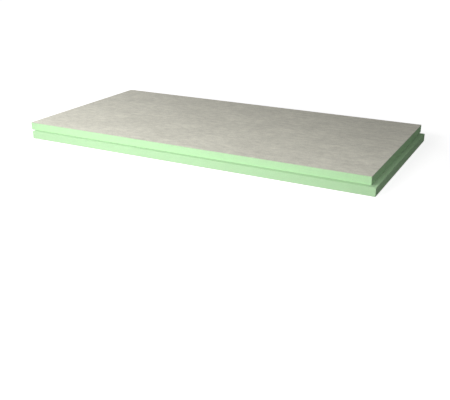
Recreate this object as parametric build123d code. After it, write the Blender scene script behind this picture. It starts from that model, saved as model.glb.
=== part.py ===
from build123d import *
import os

# A rigid foam insulation board with a facing sheet bonded to each broad side.
# It is laminated as one plain blank, and then a stepped rebate is milled along all four edges:
# the lower lip reaches out at the front and at the right end, and the upper lip at the back and
# at the left end, so that boards of one size lap each other on every side.
# +X runs along the board, +Y goes across it, and +Z goes up through its thickness.
# The origin is on the underside, below the middle of the whole outline.

# Driving dimensions, in millimetres
board_length = 1200.0      # overall, from the tip of one end's lip to the tip of the other's
board_width = 600.0        # overall, over the lips of both long sides
board_thickness = 50.0     # overall, both facing sheets included
facer_thickness = 0.6      # one facing sheet
end_lap = 17.0             # how far the lips reach out at the two ends
side_lap = 15.0            # how far the lips reach out along the two long sides
lower_lip_height = 25.0    # from the underside to the floor of the rebates

# Each half of the board is shorter and narrower than the blank by one lap
half_length = board_length - end_lap
half_width = board_width - side_lap


def blank_outline():
    """The laminated blank as it comes off the line, before its edges are milled."""
    return Rectangle(board_length, board_width)


def upper_half_outline():
    """The upper half stays whole towards the left end and the back."""
    return Pos(-end_lap / 2, side_lap / 2) * Rectangle(half_length, half_width)


def lower_half_outline():
    """The lower half stays whole towards the right end and the front."""
    return Pos(end_lap / 2, -side_lap / 2) * Rectangle(half_length, half_width)


def layer(bottom, top):
    """One layer of the blank, from its lower to its upper face."""
    return extrude(Pos(0, 0, bottom) * blank_outline(), amount=top - bottom)


def upper_rebate():
    """What the cutter takes off the front and the right end, above the lower lip."""
    waste = blank_outline() - upper_half_outline()
    return extrude(Pos(0, 0, lower_lip_height) * waste, amount=board_thickness - lower_lip_height)


def lower_rebate():
    """What the cutter takes off the back and the left end, below the upper lip."""
    waste = blank_outline() - lower_half_outline()
    return extrude(waste, amount=lower_lip_height)


def bottom_facer():
    return layer(0, facer_thickness) - lower_rebate()


def foam_core():
    foam = layer(facer_thickness, board_thickness - facer_thickness)
    return foam - upper_rebate() - lower_rebate()


def top_facer():
    return layer(board_thickness - facer_thickness, board_thickness) - upper_rebate()


pieces = {
    "bottom_facer": bottom_facer(),
    "foam_core": foam_core(),
    "top_facer": top_facer(),
}

os.makedirs("parts", exist_ok=True)
for name, piece in pieces.items():
    solid = piece.solid()
    solid.label = name
    export_step(solid, f"parts/{name}.step")
    size = solid.bounding_box().size
    print(f"{name}: {size.X:.1f} x {size.Y:.1f} x {size.Z:.1f} mm, {solid.volume / 1e6:.3f} litres")
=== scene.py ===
# %% [markdown]
# # A foam insulation board with stepped edges
#
# The object is one rigid insulation board: a slab of pale green foam with a thin, warm grey facing
# sheet bonded to each broad side. All four edges are milled to a step, so that boards lap each other.
#
# The measured model is loaded first. It fixes every size and place, and this script only adds the
# looks: finer meshes for the three pieces, their finishes, the floor, the light and the camera.

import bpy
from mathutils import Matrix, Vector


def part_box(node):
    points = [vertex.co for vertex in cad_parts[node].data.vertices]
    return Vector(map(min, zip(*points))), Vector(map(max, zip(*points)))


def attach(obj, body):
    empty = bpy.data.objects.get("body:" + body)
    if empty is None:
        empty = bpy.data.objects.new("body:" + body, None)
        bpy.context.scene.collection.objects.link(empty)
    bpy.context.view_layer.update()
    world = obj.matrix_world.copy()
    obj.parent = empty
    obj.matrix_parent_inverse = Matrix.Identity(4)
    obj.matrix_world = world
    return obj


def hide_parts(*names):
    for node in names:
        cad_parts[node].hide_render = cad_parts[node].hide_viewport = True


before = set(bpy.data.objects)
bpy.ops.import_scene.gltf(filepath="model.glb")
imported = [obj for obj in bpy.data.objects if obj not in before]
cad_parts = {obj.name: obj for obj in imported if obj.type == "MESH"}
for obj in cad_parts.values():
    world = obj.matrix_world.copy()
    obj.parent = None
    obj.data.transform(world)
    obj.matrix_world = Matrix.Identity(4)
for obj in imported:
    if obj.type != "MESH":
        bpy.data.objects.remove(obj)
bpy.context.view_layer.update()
print("pieces in the measured model:", sorted(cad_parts))

# %% [markdown]
# Blender has two libraries for this work. A bmesh is a workbench, on which a mesh is built and changed
# point by point. bpy holds the finished things: objects, materials, lamps and the camera. mathutils
# adds vectors and smooth noise. Blender counts in metres, so a millimetre gets a name of its own.

# %% Bring in Blender's own modules
import math

import bmesh
import bpy
from mathutils import Vector, noise

mm = 0.001
print("Blender", bpy.app.version_string, "counts in metres, and a millimetre is", mm)

# %% [markdown]
# ## Sizes
#
# Nothing is measured twice. The upper half of the board is as long and wide as the top facing sheet,
# the lower half is as long and wide as the bottom one, and the two are shifted against each other
# by one lap. The height of the step is the middle one of the three heights in the foam's mesh.

# %% Read the sizes
upper_low, upper_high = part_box("top_facer")
lower_low, lower_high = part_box("bottom_facer")
foam_low, foam_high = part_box("foam_core")
foam_heights = sorted({round(v.co.z, 5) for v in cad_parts["foam_core"].data.vertices})
step_height = foam_heights[1]

print("foam heights in mm:", [round(z / mm, 2) for z in foam_heights])
print("end lap:", round((lower_high.x - upper_high.x) / mm, 2), "mm")
print("side lap:", round((upper_low.y - lower_low.y) / mm, 2), "mm")

# %% [markdown]
# ## The foam core
#
# The real core is foamed between two moving facing sheets, sawn to size, and then a cutter mills the
# steps. Its broad sides are hidden under the sheets, but every edge face is bare cut foam. Cut foam
# is never quite flat: the saw leaves it a little wavy, and crumbs break out along the sharp corners.
#
# A cube with a bump map would keep knife-sharp corners. So each bare face is laid out as a fine grid
# of points, and the points are then pushed in a little. The grids share the same lines, called
# stations here, so that their rims meet point on point and weld into one closed skin.

# %% Stations: where the lines of the grids lie
# Beside a corner lies one close line, and the even spacing starts a little further in.
corner_line, corner_zone = 0.35 * mm, 0.9 * mm
spacing_sideways, spacing_upward = 2.4 * mm, 1.9 * mm
# Two places that are nearer to each other than this count as one.
same_place = 0.01 * mm


def stations(cuts, spacing):
    """Places from the first cut to the last, closer together beside each cut."""
    places = [cuts[0]]
    for start, end in zip(cuts, cuts[1:]):
        first, last = start + corner_zone, end - corner_zone
        count = max(1, round((last - first) / spacing))
        places.append(start + corner_line)
        places += [first + (last - first) * k / count for k in range(count + 1)]
        places += [end - corner_line, end]
    return places


def between(places, low, high):
    """Those of the places that lie from low to high."""
    return [place for place in places if low - same_place < place < high + same_place]


along = stations([foam_low.x, lower_low.x, upper_high.x, foam_high.x], spacing_sideways)
across = stations([foam_low.y, upper_low.y, lower_high.y, foam_high.y], spacing_sideways)
upward = stations(foam_heights, spacing_upward)
print(len(along), "stations along,", len(across), "across and", len(upward), "up")

# %% [markdown]
# Every bare face of the foam lies square to an axis, so one small function lays them all. It makes the
# points row by row, and then a face from each four neighbours. Blender's own grid operator would be
# shorter, but it spaces its points evenly, and these have to follow the stations.

# %% Lay one grid
def lay_grid(mesh, xs, ys, zs):
    """A grid of quads. One of the three lists holds a single place, and the grid is flat across it."""
    if len(zs) == 1:
        rows = [[(x, y, zs[0]) for x in xs] for y in ys]
    elif len(ys) == 1:
        rows = [[(x, ys[0], z) for x in xs] for z in zs]
    else:
        rows = [[(xs[0], y, z) for y in ys] for z in zs]
    points = [[mesh.verts.new(place) for place in row] for row in rows]
    for near, far in zip(points, points[1:]):
        for a, b, c, d in zip(near, near[1:], far[1:], far):
            mesh.faces.new((a, b, c, d))


# %% [markdown]
# Each half of the board is a plain slab, so it has four walls. The lower slab reaches out at the
# front and the right end, which gives the ledge there. The upper slab reaches out at the back and
# the left end, which gives the overhang there. Ledge and overhang are both made of flat lips, two
# each, at the height of the step.

# %% Lay the walls, the ledge and the overhang
def lay_walls(mesh, low, high, zs):
    """The four upright walls of one half of the board."""
    xs, ys = between(along, low.x, high.x), between(across, low.y, high.y)
    for y in (low.y, high.y):
        lay_grid(mesh, xs, [y], zs)
    for x in (low.x, high.x):
        lay_grid(mesh, [x], ys, zs)


def lay_lip(mesh, low_x, high_x, low_y, high_y):
    """One flat strip of the ledge or the overhang."""
    lay_grid(mesh, between(along, low_x, high_x), between(across, low_y, high_y), [step_height])


foam_mesh = bmesh.new()
lay_walls(foam_mesh, lower_low, lower_high, between(upward, foam_low.z, step_height))
lay_walls(foam_mesh, upper_low, upper_high, between(upward, step_height, foam_high.z))
lay_lip(foam_mesh, lower_low.x, foam_high.x, foam_low.y, upper_low.y)
lay_lip(foam_mesh, upper_high.x, foam_high.x, upper_low.y, lower_high.y)
lay_lip(foam_mesh, foam_low.x, lower_low.x, upper_low.y, foam_high.y)
lay_lip(foam_mesh, lower_low.x, upper_high.x, lower_high.y, foam_high.y)
print("faces laid for the bare foam:", len(foam_mesh.faces))

# %% [markdown]
# The grids only touch so far. Welding joins the points that lie on each other. The two broad sides
# are still open, and one large face closes each of them, because a sheet hides them for good.

# %% Weld the skin and close the broad sides
bmesh.ops.remove_doubles(foam_mesh, verts=foam_mesh.verts, dist=same_place)
open_rims = [e for e in foam_mesh.edges if e.is_boundary]
bmesh.ops.holes_fill(foam_mesh, edges=open_rims)
bmesh.ops.recalc_face_normals(foam_mesh, faces=foam_mesh.faces)
print("foam faces:", len(foam_mesh.faces), "open edges left:", sum(e.is_boundary for e in foam_mesh.edges))

# %% [markdown]
# Now the points are pushed in. A point inside a face moves one way, a point on a corner moves two
# ways, and a point where three faces meet moves three ways, so the skin stays closed. The push is
# always inward, because the measured face is as far out as the cutter left any foam. Where a sheet is
# bonded on, it protects the corner, so there the foam stays level with its sheet.

# %% Which way the skin faces at a point
def outward_ways(point):
    """The directions in which the skin faces at this point, along the axes."""
    ways = {tuple(round(n) for n in face.normal) for face in point.link_faces}
    bonded = min(abs(point.co.z - foam_low.z), abs(point.co.z - foam_high.z)) < same_place
    return [Vector(way) for way in sorted(ways) if not (bonded and way[2])]


foam_ways = [outward_ways(point) for point in foam_mesh.verts]
ways_at_each = [len(ways) for ways in foam_ways]
print("points that move one, two or three ways:", [ways_at_each.count(n) for n in (1, 2, 3)])

# %% [markdown]
# Both kinds of wear come from Blender's smooth noise, which gives the same value at the same place on
# every run. The number of waves in a metre sets the size: at 22 a wave is about 45 mm long, and at 160
# a crumb is about 6 mm.

# %% Push the points in
# How deep each kind of wear goes, and how many waves of its noise fit in a metre.
saw_depth, saw_waves = 0.08 * mm, 22.0
crumb_depth, crumb_waves = 0.45 * mm, 160.0
corner_softness = 0.10 * mm
# Crumbs break out only at the crests of their noise, which is read away from that of the saw.
crest_height = 0.25
elsewhere = Vector((7.0, 3.0, 1.0))


def waviness(place):
    """0 to 1 over some centimetres, as a worn saw leaves it."""
    return 0.5 + 0.5 * noise.noise(place * saw_waves)


def crumbling(place):
    """Mostly 0, and up to 1 where a few cells have broken out of a sharp corner."""
    broken = noise.noise(place * crumb_waves + elsewhere)
    return max(0.0, broken - crest_height) / (1.0 - crest_height)


pushes = []
for point, ways in zip(foam_mesh.verts, foam_ways):
    depth = saw_depth * waviness(point.co)
    if len(ways) > 1:
        depth += corner_softness + crumb_depth * crumbling(point.co)
    pushes.append((point, sum((-way * depth for way in ways), Vector())))
for point, push in pushes:
    point.co += push
print("deepest push:", round(max(push.length for _, push in pushes) / mm, 2), "mm")

# %% [markdown]
# ## The facing sheets
#
# Each sheet is a mat of chopped strands with a mineral coating, hardly thicker than card. The foam
# under it cures unevenly, so the sheet cockles by a few hundredths of a millimetre, and its cut rim
# wanders a little. A grid whose rim is folded towards the foam shows that. A Solidify modifier would
# also give the thickness, but it would double the grid for a side that is glued down and never seen.
#
# The folded rim is the cut edge of the sheet. Its faces get material number 1, so that it can have a
# finish of its own. They are made one by one, along the grid's open edges. Blender's own extrude would
# be shorter, but it lays them in another order on every run, and the exported file would follow.

# %% Build both sheets
sheet_spacing = 3.6 * mm


def build_sheet(low, high, outer_z, inner_z):
    """A closed sheet whose outer side is a fine grid."""
    mesh = bmesh.new()
    xs = stations([low.x, high.x], sheet_spacing)
    ys = stations([low.y, high.y], sheet_spacing)
    lay_grid(mesh, xs, ys, [outer_z])
    glued_points = {}
    for edge in [e for e in mesh.edges if e.is_boundary]:
        for point in edge.verts:
            if point not in glued_points:
                glued_points[point] = mesh.verts.new((point.co.x, point.co.y, inner_z))
        near, far = edge.verts
        rim_face = mesh.faces.new((far, glued_points[far], glued_points[near], near))
        rim_face.material_index = 1
    bmesh.ops.holes_fill(mesh, edges=[e for e in mesh.edges if e.is_boundary])
    bmesh.ops.recalc_face_normals(mesh, faces=mesh.faces)
    return mesh


top_mesh = build_sheet(upper_low, upper_high, upper_high.z, upper_low.z)
bottom_mesh = build_sheet(lower_low, lower_high, lower_low.z, lower_high.z)
print("faces in each sheet:", len(top_mesh.faces), len(bottom_mesh.faces))

# %% [markdown]
# The same smooth noise moves the sheet's points in two ways. The outer side sinks towards the foam in
# swells about 30 mm wide, and the rim draws back in waves of about 11 mm, as a knife leaves a mat of
# fibres. A Displace modifier could do the swells, but not the rim. Nothing is pushed past true size.

# %% Cockle the sheets and let their rims wander
cockle_depth, cockle_waves = 0.07 * mm, 30.0
rim_wander, rim_waves = 0.12 * mm, 90.0
# A sheet's height times this moves its noise to a place of its own, so that the two sheets differ.
noise_apart = 999.0


def cockle(mesh, low, high, outer_z, inner_z):
    """Sinks the outer side in swells and draws the rim back."""
    towards_foam = math.copysign(1.0, inner_z - outer_z)
    middle = (low + high) / 2
    own_noise = Vector((0.0, 0.0, outer_z * noise_apart))
    for point in mesh.verts:
        place = point.co.copy()
        if abs(place.z - outer_z) < same_place:
            swell = 0.5 + 0.5 * noise.noise(place * cockle_waves + own_noise)
            point.co.z += towards_foam * cockle_depth * swell
        wander = rim_wander * (0.5 + 0.5 * noise.noise(place * rim_waves))
        if min(abs(place.x - low.x), abs(place.x - high.x)) < same_place:
            point.co.x += math.copysign(wander, middle.x - place.x)
        if min(abs(place.y - low.y), abs(place.y - high.y)) < same_place:
            point.co.y += math.copysign(wander, middle.y - place.y)


cockle(top_mesh, upper_low, upper_high, upper_high.z, upper_low.z)
cockle(bottom_mesh, lower_low, lower_high, lower_low.z, lower_high.z)
top_side = [point.co.z for point in top_mesh.verts if point.co.z > (upper_low.z + upper_high.z) / 2]
print("deepest dip of the top:", round((upper_high.z - min(top_side)) / mm, 3), "mm")

# %% [markdown]
# ## From meshes to pieces
#
# A bmesh is only a workbench, so each one is written into mesh data that an object can hold. Before
# that, the huge faces of the glued sides are cut into well-shaped triangles, because left to an
# exporter they turn into slivers. Smooth shading hides the facets of the gentle waves, and edges that
# turn by more than 40 degrees are marked sharp, so that the milled corners stay crisp. Each piece
# rides on the board's one body and stands for a measured piece, which stays hidden underneath.

# %% Turn the meshes into pieces that replace the measured ones
sharp_turn = math.radians(40.0)


def make_piece(name, mesh, node):
    """An object made from the mesh, riding on the body and standing for a measured piece."""
    huge = [face for face in mesh.faces if len(face.verts) > 4]
    bmesh.ops.triangulate(mesh, faces=huge, ngon_method="BEAUTY")
    data = bpy.data.meshes.new(name)
    mesh.to_mesh(data)
    mesh.free()
    data.shade_smooth()
    data.set_sharp_from_angle(angle=sharp_turn)
    piece = bpy.data.objects.new(name, data)
    bpy.context.collection.objects.link(piece)
    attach(piece, "root")
    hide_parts(node)
    triangles = sum(len(face.vertices) - 2 for face in data.polygons)
    print(name, "has", triangles, "triangles")
    return piece


foam_piece = make_piece("milled_foam_core", foam_mesh, "foam_core")
top_piece = make_piece("top_facing_sheet", top_mesh, "top_facer")
bottom_piece = make_piece("bottom_facing_sheet", bottom_mesh, "bottom_facer")

# %% [markdown]
# ## Finishes
#
# Every finish is a node tree worked out from the place on the object, in metres. A painted texture
# could also give the detail, but it needs an unwrapped mesh and blurs from close by. Noise in object
# coordinates has no seams, wraps round corners and keeps its true scale on every face.
#
# Trees like these repeat a few moves: add a node, feed its inputs, multiply some factors. So the
# moves get helpers first, and each finish then reads as a short list of what the surface shows.

# %% Helpers: add nodes and feed them
def feed(tree, socket, value):
    """Links another node's output into a socket, or writes a plain number or vector there."""
    if isinstance(value, bpy.types.NodeSocket):
        tree.links.new(value, socket)
    else:
        socket.default_value = value


def add_node(tree, kind, settings=None, **inputs):
    """Adds a node, sets its options, and feeds its inputs by name."""
    node = tree.nodes.new(kind)
    for option, value in (settings or {}).items():
        setattr(node, option, value)
    for name, value in inputs.items():
        feed(tree, node.inputs[name.replace("_", " ")], value)
    return node


def start_material(name):
    """A new material, its node tree, and its main shader."""
    material = bpy.data.materials.new(name)
    material.use_nodes = True
    tree = material.node_tree
    return material, tree, tree.nodes["Principled BSDF"]


# %% [markdown]
# A node tree has no formulas, so even one multiplication is a node. These helpers add such a node, feed
# it and give back its result, and a finish can then be written almost like plain arithmetic. Remap is
# the busiest of them: it turns any pattern into a factor for the colour or a height for the relief.

# %% Helpers: sums with numbers and with vectors
def sums(tree, operation, *values):
    """One Math node, such as ADD or MULTIPLY."""
    node = add_node(tree, "ShaderNodeMath", {"operation": operation})
    for socket, value in zip(node.inputs, values):
        feed(tree, socket, value)
    return node.outputs["Value"]


def vector_sums(tree, operation, *values):
    """One Vector Math node. LENGTH gives a number, and the others used here give a vector."""
    node = add_node(tree, "ShaderNodeVectorMath", {"operation": operation})
    for socket, value in zip(node.inputs, values):
        feed(tree, socket, value)
    return node.outputs["Value" if operation == "LENGTH" else "Vector"]


def product(tree, first, *others):
    """All the factors multiplied together."""
    for other in others:
        first = sums(tree, "MULTIPLY", first, other)
    return first


def remap(tree, value, low, high, new_low, new_high):
    """Turns the range low..high of a value into new_low..new_high, and stops at both ends."""
    node = add_node(tree, "ShaderNodeMapRange", Value=value, From_Min=low, From_Max=high,
                    To_Min=new_low, To_Max=new_high)
    return node.outputs["Result"]


# %% [markdown]
# The last helpers say where on the object a point of the surface is, give smooth noise there, and mix
# and tint colours. "Object" coordinates stay with the piece when it moves. Stretching them turns the
# round blobs of the noise into bands or streaks, which is how one noise serves many patterns here.

# %% Helpers: places, noise and tinted colour
def object_place(tree, stretch=(1.0, 1.0, 1.0)):
    """The place on the object in metres, times one factor for each axis."""
    coordinates = add_node(tree, "ShaderNodeTexCoord")
    return vector_sums(tree, "MULTIPLY", coordinates.outputs["Object"], stretch)


def noise_value(tree, place, scale, detail=2.0, roughness=0.5):
    """Smooth noise around 0.5, seldom under 0.3 or over 0.7. The scale is in waves per metre."""
    node = add_node(tree, "ShaderNodeTexNoise", Vector=place, Scale=scale, Detail=detail,
                    Roughness=roughness)
    return node.outputs["Fac"]


def blend_colours(tree, factor, first, second):
    """The first colour where the factor is 0, and the second where it is 1."""
    # A Mix node has sockets of one name for every kind of value, so they go by number: 0 is the factor,
    # 6 and 7 are the two colours, and output 2 is the mixed colour.
    node = add_node(tree, "ShaderNodeMix", {"data_type": "RGBA"})
    feed(tree, node.inputs[0], factor)
    feed(tree, node.inputs[6], (*first, 1.0))
    feed(tree, node.inputs[7], (*second, 1.0))
    return node.outputs[2]


def tint(tree, colour, strength):
    """A colour times a strength around 1."""
    node = add_node(tree, "ShaderNodeVectorMath", {"operation": "SCALE"}, Vector=colour, Scale=strength)
    return node.outputs["Vector"]


# %% [markdown]
# ### Cut green foam
#
# The foam rises between the two sheets, so it carries faint layers parallel to them and is a little
# denser and darker right under them. Over some centimetres its tone also drifts. Each of these is a
# factor close to 1. The layers are noise whose place is squeezed along x and y, which draws the noise
# out into bands. A colour ramp over the height would give layers too, but the same ones everywhere.

# %% Tone of the foam: layers, patches and the dense skin
foam_finish, foam_tree, foam_shader = start_material("cut_green_foam")
foam_place = object_place(foam_tree)
banded_place = object_place(foam_tree, (0.05, 0.05, 1.0))
layer_waves, patch_waves = 220.0, 45.0
layers = remap(foam_tree, noise_value(foam_tree, banded_place, layer_waves), 0.3, 0.7, 0.987, 1.013)
patches = remap(foam_tree, noise_value(foam_tree, foam_place, patch_waves, 3.0), 0.3, 0.7, 0.992, 1.008)

skin_depth = 1.8 * mm
half_height = (foam_high.z - foam_low.z) / 2
height = add_node(foam_tree, "ShaderNodeSeparateXYZ", Vector=foam_place).outputs["Z"]
from_middle = sums(foam_tree, "ABSOLUTE", sums(foam_tree, "SUBTRACT", height, foam_low.z + half_height))
dense_skin = remap(foam_tree, from_middle, half_height - skin_depth, half_height, 1.0, 0.95)
foam_tone = product(foam_tree, layers, patches, dense_skin)
print("nodes in the foam's finish so far:", len(foam_tree.nodes))

# %% [markdown]
# The foam is a mass of tiny closed bubbles. A cut goes through them and leaves little bowls with
# raised rims. A Voronoi texture divides space into such cells: its distance is 0 at the heart of a
# cell and grows towards the rim. Squared, it gives a round bowl with a sharp rim. Fine bowls inside
# coarser ones look less even than one size alone. Modelled bowls would cost millions of faces.

# %% Bubbles
def bowls(tree, size):
    """0 at the heart of each bubble, rising to about 0.5 at its rim."""
    cells = add_node(tree, "ShaderNodeTexVoronoi", Vector=object_place(tree), Scale=1.0 / size)
    return product(tree, cells.outputs["Distance"], cells.outputs["Distance"])


fine_bubble, coarse_bubble = 0.45 * mm, 1.1 * mm
fine_bowls = sums(foam_tree, "MULTIPLY", bowls(foam_tree, fine_bubble), 1.2)
coarse_bowls = sums(foam_tree, "MULTIPLY", bowls(foam_tree, coarse_bubble), 0.7)
bubbles = sums(foam_tree, "ADD", fine_bowls, coarse_bowls)
print("nodes in the foam's finish so far:", len(foam_tree.nodes))

# %% [markdown]
# Here and there a larger bubble leaves a pinhole in the cut. This is a coarse Voronoi in which only
# some cells show a dot: every cell has a random colour, and its red decides how large the dot at its
# heart is, often nothing. Separate small pits in the mesh would need far finer faces than the rest.

# %% Scattered dots, and the foam's pinholes
def scattered_dots(tree, spacing, empty_share, largest):
    """1 in the dots and 0 around them. Their radii and soft rims are parts of the spacing."""
    soft_rim = 0.03
    cells = add_node(tree, "ShaderNodeTexVoronoi", Vector=object_place(tree), Scale=1.0 / spacing)
    luck = add_node(tree, "ShaderNodeSeparateColor", Color=cells.outputs["Color"]).outputs["Red"]
    radius = remap(tree, luck, empty_share, 1.0, 0.0, largest)
    inside = sums(tree, "SUBTRACT", radius, cells.outputs["Distance"])
    return remap(tree, inside, 0.0, soft_rim, 0.0, 1.0)


pinhole_spacing, pinhole_radius = 7.0 * mm, 0.10
without_pinhole = 0.5
pinholes = scattered_dots(foam_tree, pinhole_spacing, without_pinhole, pinhole_radius)
print("widest pinhole:", round(2 * pinhole_radius * pinhole_spacing / mm, 1), "mm")

# %% [markdown]
# The cutter turns as the board is fed past it, and every pass of a knife leaves a faint upright mark
# on the walls. This is noise again, squeezed the other way: narrow along the board and tall across
# its thickness. A wave texture would be too regular, and its even lines shimmer in a small picture.

# %% Marks of the cutter
mark_width, mark_height = 2.4 * mm, 31.0 * mm
streaked_place = object_place(foam_tree, (1.0 / mark_width, 1.0 / mark_width, 1.0 / mark_height))
cutter_marks = remap(foam_tree, noise_value(foam_tree, streaked_place, 1.0, 1.0), 0.3, 0.7, 0.0, 1.0)
print("marks of the cutter on one long side:", round((foam_high.x - foam_low.x) / mark_width))

# %% [markdown]
# Painted shade: the ledge is darkened towards the step's inner corner, where shade falls, most in
# the corner and hardly at the rim. The mask is a distance from the loop of inner corners, worked out
# as the distance from a flat box: take the place relative to the box's centre, drop the signs,
# subtract half the box's size and keep what is above zero. Height counts twenty times, so the wall
# above the ledge keeps only a thin foot of painted shade.

# %% Painted shade in the inner corner of the step
# How far from the inner corner the painted shade reaches, and how strongly it darkens the green.
shade_reach, shade_strength, height_factor = 20.0 * mm, 0.88, 20.0

corner_low = Vector((lower_low.x, upper_low.y, step_height))
corner_high = Vector((upper_high.x, lower_high.y, step_height))
aside = vector_sums(foam_tree, "SUBTRACT", foam_place, (corner_low + corner_high) / 2)
aside = vector_sums(foam_tree, "ABSOLUTE", aside)
aside = vector_sums(foam_tree, "SUBTRACT", aside, (corner_high - corner_low) / 2)
aside = vector_sums(foam_tree, "MAXIMUM", aside, (0.0, 0.0, 0.0))
aside = vector_sums(foam_tree, "MULTIPLY", aside, (1.0, 1.0, height_factor))
corner_distance = vector_sums(foam_tree, "LENGTH", aside)
painted_corner_shade = remap(foam_tree, corner_distance, 0.0, shade_reach, shade_strength, 0.0)
print("sides of the loop of inner corners in mm:", [round(s / mm) for s in (corner_high - corner_low)[:2]])

# %% [markdown]
# All of it now meets in one colour. Each pattern is remapped to a factor that multiplies the green,
# and a darker green is blended in towards the step's inner corner as painted shade. Cut foam is very
# matt, so the roughness stays high, and it is highest down in the bowls. The green is the foam's own
# colour, as it looks in plain white light.

# %% Colour and gloss of the foam
FOAM_GREEN = (0.512, 0.780, 0.461)
PAINTED_SHADE_GREEN = (0.355, 0.505, 0.325)

foam_shade = product(
    foam_tree,
    foam_tone,
    # Painted shade and light: darker down in the bubbles' bowls and lighter on their rims.
    remap(foam_tree, bubbles, 0.0, 0.8, 0.93, 1.08),
    remap(foam_tree, cutter_marks, 0.0, 1.0, 0.992, 1.008),
    # Painted shade: the pinholes are darkened, as shade falls down in them.
    remap(foam_tree, pinholes, 0.0, 1.0, 1.0, 0.72),
)
# Towards the step's inner corner a darker green is blended in: painted shade.
green = blend_colours(foam_tree, painted_corner_shade, FOAM_GREEN, PAINTED_SHADE_GREEN)
feed(foam_tree, foam_shader.inputs["Base Color"], tint(foam_tree, green, foam_shade))
feed(foam_tree, foam_shader.inputs["Roughness"], remap(foam_tree, bubbles, 0.0, 0.8, 1.0, 0.88))
foam_shader.inputs["Specular IOR Level"].default_value = 0.2
print("nodes in the foam's finish so far:", len(foam_tree.nodes))

# %% [markdown]
# The same patterns also give the relief, as heights that add up. A Bump node only bends the light and
# moves no point, which is enough for bowls that are half a millimetre wide. Its Distance is one
# millimetre, so the heights are simply in millimetres.

# %% Relief of the foam
# In millimetres.
bowl_height, mark_depth, pinhole_depth = 0.22, 0.05, 0.4

foam_relief = remap(foam_tree, bubbles, 0.0, 1.0, 0.0, bowl_height)
marks_relief = remap(foam_tree, cutter_marks, 0.0, 1.0, 0.0, mark_depth)
foam_relief = sums(foam_tree, "ADD", foam_relief, marks_relief)
holes_relief = remap(foam_tree, pinholes, 0.0, 1.0, 0.0, pinhole_depth)
foam_relief = sums(foam_tree, "SUBTRACT", foam_relief, holes_relief)
foam_bump = add_node(foam_tree, "ShaderNodeBump", Strength=0.7, Distance=1.0 * mm, Height=foam_relief)
feed(foam_tree, foam_shader.inputs["Normal"], foam_bump.outputs["Normal"])
foam_piece.data.materials.append(foam_finish)
print("the foam's finish has", len(foam_tree.nodes), "nodes")

# %% [markdown]
# ### Coated facing sheet
#
# From a few steps away the sheet shows soft clouds, where the mineral coating soaked in more or less,
# paler patches here and there, and a fine speckle. They change how light the sheet is, hardly its hue.
# The mat is laid on a moving belt, so all but the speckle is drawn out along the board. One fractal
# noise could cover all sizes at once, but separate ones let each size have the strength that it needs.

# %% Tone of the facing: clouds, blotches, pale patches and speckle
sheet_finish, sheet_tree, sheet_shader = start_material("coated_facing")
sheet_place = object_place(sheet_tree)
drawn_place = object_place(sheet_tree, (0.7, 1.1, 1.0))
cloud_waves, pale_waves, blotch_waves, speckle_waves = 15.0, 24.0, 60.0, 330.0
clouds = noise_value(sheet_tree, drawn_place, cloud_waves)
blotches = noise_value(sheet_tree, drawn_place, blotch_waves)
pale_patches = noise_value(sheet_tree, drawn_place, pale_waves, 1.0)
speckle = noise_value(sheet_tree, sheet_place, speckle_waves, 3.0, 0.6)
sheet_tone = product(
    sheet_tree,
    remap(sheet_tree, clouds, 0.25, 0.75, 0.93, 1.07),
    remap(sheet_tree, blotches, 0.25, 0.75, 0.915, 1.085),
    remap(sheet_tree, pale_patches, 0.60, 0.78, 1.01, 1.10),
    remap(sheet_tree, speckle, 0.25, 0.75, 0.865, 1.135),
)
print("nodes in the facing's finish so far:", len(sheet_tree.nodes))

# %% [markdown]
# Close by, the chopped strands of the mat lie crosswise under the coating like fine straw. Each
# direction is noise that is turned and then drawn out into thin lines, of which only the crests are
# kept. Four directions laid over each other look random. Real curves scattered over the sheet would
# show the same lines, but it would take many thousands of them, and none is thicker than a hair.

# %% Chopped strands
# Waves per metre along and across a strand, which make it about 14 mm long and under 1 mm wide.
strand_waves = (70.0, 1100.0, 70.0)
# Each direction has a turn in radians, and a shift that gives it noise of its own.
directions = ((0.25, 1.3), (1.05, 2.1), (1.85, 3.7), (2.70, 4.9))
cover_waves = 110.0


def strands_one_way(tree, turn, shift):
    """Thin lines in one direction."""
    moved = vector_sums(tree, "ADD", object_place(tree), (shift, -shift, 0.0))
    turned = add_node(tree, "ShaderNodeVectorRotate", {"rotation_type": "Z_AXIS"}, Vector=moved, Angle=turn)
    drawn_out = vector_sums(tree, "MULTIPLY", turned.outputs["Vector"], strand_waves)
    return remap(tree, noise_value(tree, drawn_out, 1.0, 1.0), 0.58, 0.68, 0.0, 1.0)


strands = strands_one_way(sheet_tree, *directions[0])
for turn, shift in directions[1:]:
    strands = sums(sheet_tree, "MAXIMUM", strands, strands_one_way(sheet_tree, turn, shift))
# The strands show in full where the coating is thin, and a quarter as strongly where it is thick.
thin_coating = remap(sheet_tree, noise_value(sheet_tree, sheet_place, cover_waves), 0.35, 0.6, 0.25, 1.0)
strands = product(sheet_tree, strands, thin_coating)
print("nodes in the facing's finish so far:", len(sheet_tree.nodes))

# %% [markdown]
# The coating dries with tiny pits where air came out. They are scattered dots again, only finer and
# closer together than the foam's pinholes.

# %% Pits in the coating
pit_spacing, pit_radius = 3.2 * mm, 0.13
without_pit = 0.45
pits = scattered_dots(sheet_tree, pit_spacing, without_pit, pit_radius)
print("widest pit:", round(2 * pit_radius * pit_spacing / mm, 1), "mm")

# %% [markdown]
# Shades multiply and heights add, as on the foam: strands stand a little proud and are a little
# lighter and smoother, and pits go down and are painted darker, as painted shade in them. The relief
# is only about a twentieth of a millimetre, but it is what the sheet shows under low light, when its
# colour hardly shows.

# %% Colour, gloss and relief of the facing
FACING_GREY = (0.662, 0.648, 0.560)

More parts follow.
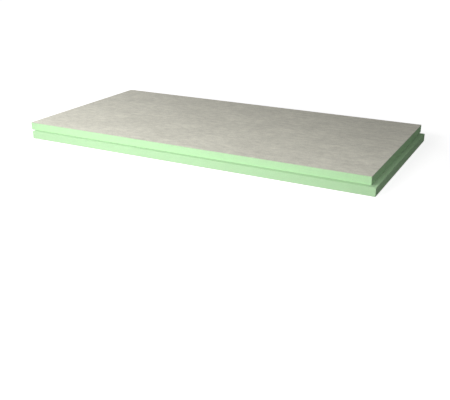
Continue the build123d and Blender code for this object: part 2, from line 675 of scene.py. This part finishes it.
sheet_shade = product(
    sheet_tree,
    sheet_tone,
    remap(sheet_tree, strands, 0.0, 1.0, 0.985, 1.045),
    # Painted shade: the pits are darkened, as shade falls down in them.
    remap(sheet_tree, pits, 0.0, 1.0, 1.0, 0.80),
)
feed(sheet_tree, sheet_shader.inputs["Base Color"], tint(sheet_tree, FACING_GREY, sheet_shade))
feed(sheet_tree, sheet_shader.inputs["Roughness"], remap(sheet_tree, strands, 0.0, 1.0, 0.93, 0.80))
sheet_shader.inputs["Specular IOR Level"].default_value = 0.25

# In millimetres.
strand_height, coating_height, pit_depth = 0.05, 0.05, 0.10

sheet_relief = remap(sheet_tree, strands, 0.0, 1.0, 0.0, strand_height)
coating_relief = remap(sheet_tree, sheet_tone, 0.85, 1.15, 0.0, coating_height)
sheet_relief = sums(sheet_tree, "ADD", sheet_relief, coating_relief)
pits_relief = remap(sheet_tree, pits, 0.0, 1.0, 0.0, pit_depth)
sheet_relief = sums(sheet_tree, "SUBTRACT", sheet_relief, pits_relief)
sheet_bump = add_node(sheet_tree, "ShaderNodeBump", Strength=0.7, Distance=1.0 * mm, Height=sheet_relief)
feed(sheet_tree, sheet_shader.inputs["Normal"], sheet_bump.outputs["Normal"])
print("the facing's finish has", len(sheet_tree.nodes), "nodes")

# %% [markdown]
# The sheet's cut edge is raw mat without coating: a little darker, with the layers of strands showing
# as fine lines along it. It is hardly over half a millimetre tall, but it outlines the sheet close by.
# The rim's faces have material number 1, so each sheet gets the coated finish first and this second.

# %% Finish of the cut rim
rim_finish, rim_tree, rim_shader = start_material("cut_rim_of_facing")
# Waves per metre: long along the rim, and very thin across its height.
line_waves = (150.0, 150.0, 6000.0)
tuft_waves = 700.0
rim_lines = noise_value(rim_tree, object_place(rim_tree, line_waves), 1.0)
rim_tufts = noise_value(rim_tree, object_place(rim_tree), tuft_waves)
line_shade = remap(rim_tree, rim_lines, 0.3, 0.7, 0.82, 1.0)
rim_shade = product(rim_tree, line_shade, remap(rim_tree, rim_tufts, 0.3, 0.7, 0.93, 1.03))
feed(rim_tree, rim_shader.inputs["Base Color"], tint(rim_tree, FACING_GREY, rim_shade))
feed(rim_tree, rim_shader.inputs["Roughness"], remap(rim_tree, rim_tufts, 0.3, 0.7, 0.9, 1.0))
rim_shader.inputs["Specular IOR Level"].default_value = 0.2
rim_bump = add_node(rim_tree, "ShaderNodeBump", Strength=0.6, Distance=0.08 * mm, Height=rim_lines)
feed(rim_tree, rim_shader.inputs["Normal"], rim_bump.outputs["Normal"])

for sheet in (top_piece, bottom_piece):
    sheet.data.materials.append(sheet_finish)
    sheet.data.materials.append(rim_finish)
    print(sheet.name, "is finished with", [finish.name for finish in sheet.data.materials])

# %% [markdown]
# ## Floor and background
#
# The board lies on a plain pale floor that runs into white. A floor bright enough to look white would
# throw a lot of light up at the board. So the floor does two jobs. To the camera, straight on or in
# gloss or glass, it glows almost white and still takes shadows from the lamps. To light that bounces,
# it is a plain dull grey. The Light Path node tells the two apart, and the world works the same way.

# %% Tell the camera's view from bounced light
def not_a_diffuse_ray(tree):
    """1 for what the camera sees, straight on or in gloss or glass, and 0 for light that bounces."""
    path = add_node(tree, "ShaderNodeLightPath")
    seen = sums(tree, "MAXIMUM", path.outputs["Is Camera Ray"], path.outputs["Is Glossy Ray"])
    return sums(tree, "MAXIMUM", seen, path.outputs["Is Transmission Ray"])


def mix_shaders(tree, factor, first, second):
    """The first shader where the factor is 0, and the second where it is 1."""
    node = add_node(tree, "ShaderNodeMixShader")
    for socket, value in zip(node.inputs, (factor, first, second)):
        feed(tree, socket, value)
    return node.outputs["Shader"]


# %% [markdown]
# What the camera sees is a glow and a grey paint added together. The glow alone would show no shadow,
# and the paint alone would never reach white. The glow is full further out, where the floor meets the
# white background, and a fifth weaker in an oval round the board, so that its soft shadow shows there.

# %% Paint the floor
FLOOR_BOUNCE = 0.27
GLOW_ROUND_THE_BOARD = 0.80
# Where it starts to grow and where it is full, in metres from the middle of the board.
glow_grows_from, glow_is_full_at = 0.6, 1.1


def grey(value):
    """An even grey as a node wants it: red, green, blue and alpha."""
    return (value, value, value, 1.0)


floor_finish, floor_tree, unused_shader = start_material("pale_floor")
floor_tree.nodes.remove(unused_shader)
from_centre = vector_sums(floor_tree, "LENGTH", object_place(floor_tree, (0.8, 1.2, 1.0)))
glow_strength = remap(floor_tree, from_centre, glow_grows_from, glow_is_full_at, GLOW_ROUND_THE_BOARD, 1.0)
glow = add_node(floor_tree, "ShaderNodeEmission", Strength=glow_strength).outputs["Emission"]
paint = add_node(floor_tree, "ShaderNodeBsdfDiffuse", Color=grey(0.5)).outputs["BSDF"]
dull = add_node(floor_tree, "ShaderNodeBsdfDiffuse", Color=grey(FLOOR_BOUNCE)).outputs["BSDF"]

glow_and_paint = add_node(floor_tree, "ShaderNodeAddShader")
feed(floor_tree, glow_and_paint.inputs[0], glow)
feed(floor_tree, glow_and_paint.inputs[1], paint)
floor_look = mix_shaders(floor_tree, not_a_diffuse_ray(floor_tree), dull, glow_and_paint.outputs["Shader"])
feed(floor_tree, floor_tree.nodes["Material Output"].inputs["Surface"], floor_look)
print("the floor sends back", FLOOR_BOUNCE, "of the light that falls on it")

# %% [markdown]
# A wide disc is enough for a floor: its own rim must only be far out of sight.

# %% Lay the floor
floor_mesh = bmesh.new()
bmesh.ops.create_circle(floor_mesh, cap_ends=True, segments=64, radius=12.0)
floor_data = bpy.data.meshes.new("floor")
floor_mesh.to_mesh(floor_data)
floor_mesh.free()
floor = bpy.data.objects.new("floor", floor_data)
floor.location.z = -0.2 * mm
bpy.context.collection.objects.link(floor)
floor.data.materials.append(floor_finish)
print("the floor lies at", round(floor.location.z / mm, 2), "mm")

# %% [markdown]
# The world surrounds everything with light. It stands for what the walls of a studio send back: weak
# and even, so that the sides away from the lamps don't go black. The camera sees it as plain white.

# %% Light the room and paint it white for the camera
AMBIENT = 0.120

world = bpy.data.worlds.new("studio")
world.use_nodes = True
world_tree = world.node_tree
world_tree.nodes.clear()
dim = add_node(world_tree, "ShaderNodeBackground", Color=grey(1.0), Strength=AMBIENT)
white = add_node(world_tree, "ShaderNodeBackground", Color=grey(1.0), Strength=1.0)
room = mix_shaders(world_tree, not_a_diffuse_ray(world_tree), dim.outputs[0], white.outputs[0])
feed(world_tree, add_node(world_tree, "ShaderNodeOutputWorld").inputs["Surface"], room)
bpy.context.scene.world = world
print("light from all round:", AMBIENT)

# %% [markdown]
# ## Lamps
#
# One large soft box stands at the front left and does most of the work. It is close, so the board is
# brightest at its front left corner and falls off to the right and the back. Two weak boxes, at the
# front right and at the left, keep the near right corner and the left end from sinking. A low strip
# in front lights the front edge face on, and another one behind does the same for the far edges and
# only grazes the top. A faint strip low on the right opens up the right end, which faces away from
# all the others. Area lamps give soft shadows by themselves. A sun lamp would light every place
# alike, without the falloff.

# %% Lamps
def add_lamp(name, place, target, size, power, spread=180.0):
    """A soft box: a glowing rectangle of that width and height in metres, turned to face the target."""
    data = bpy.data.lights.new(name, "AREA")
    data.shape = "RECTANGLE"
    data.size, data.size_y = size
    data.energy = power
    data.spread = math.radians(spread)
    lamp = bpy.data.objects.new(name, data)
    lamp.location = place
    lamp.rotation_euler = (Vector(target) - Vector(place)).to_track_quat("-Z", "Y").to_euler()
    bpy.context.collection.objects.link(lamp)
    print(name, "gives", power, "W")


board_middle = (0.0, 0.0, 0.03)
add_lamp("front_left_box", (-0.60, -1.20, 0.85), (-0.25, -0.35, 0.03), (1.1, 0.5), 10.45, spread=130.0)
add_lamp("front_right_box", (0.70, -0.80, 0.80), (0.45, -0.30, 0.03), (0.6, 0.4), 1.25, spread=130.0)
add_lamp("left_box", (-1.30, 0.10, 0.50), (-0.50, 0.05, 0.03), (0.6, 0.3), 1.25, spread=130.0)
add_lamp("front_strip", (0.30, -1.60, 0.35), board_middle, (0.6, 0.3), 5.3)
add_lamp("back_strip", (-1.50, 1.40, 0.14), board_middle, (1.4, 0.2), 12.5)
add_lamp("right_strip", (2.20, 0.90, 0.14), (0.60, 0.15, 0.03), (0.8, 0.2), 0.24, spread=120.0)

# %% [markdown]
# ## Camera
#
# The camera stands where the photograph was taken: some two metres from the board, to the right of
# its front edge, looking slightly down. The lens is a bit longer than a normal one, which keeps the
# long sides from spreading too much. Only place, direction and lens are set, so the board can be
# looked at from any other side in the same way.

# %% Camera
looks_down, turned_left = 21.615, 27.722
camera_data = bpy.data.cameras.new("camera")
camera_data.lens = 53.25
camera_data.sensor_width = 36.0
camera = bpy.data.objects.new("camera", camera_data)
camera.location = (1.0089, -1.9287, 0.6385)
camera.rotation_euler = (math.radians(90.0 - looks_down), 0.0, math.radians(turned_left))
bpy.context.collection.objects.link(camera)
bpy.context.scene.camera = camera
print("camera is", round(camera.location.length, 2), "m from the middle of the board")

# %% [markdown]
# The view transform "Standard" shows colours as they are written, without a film curve. A film-like
# curve would grey the white background and wash out the green.

# %% Colours as written
bpy.context.scene.view_settings.view_transform = "Standard"
print("view transform:", bpy.context.scene.view_settings.view_transform)
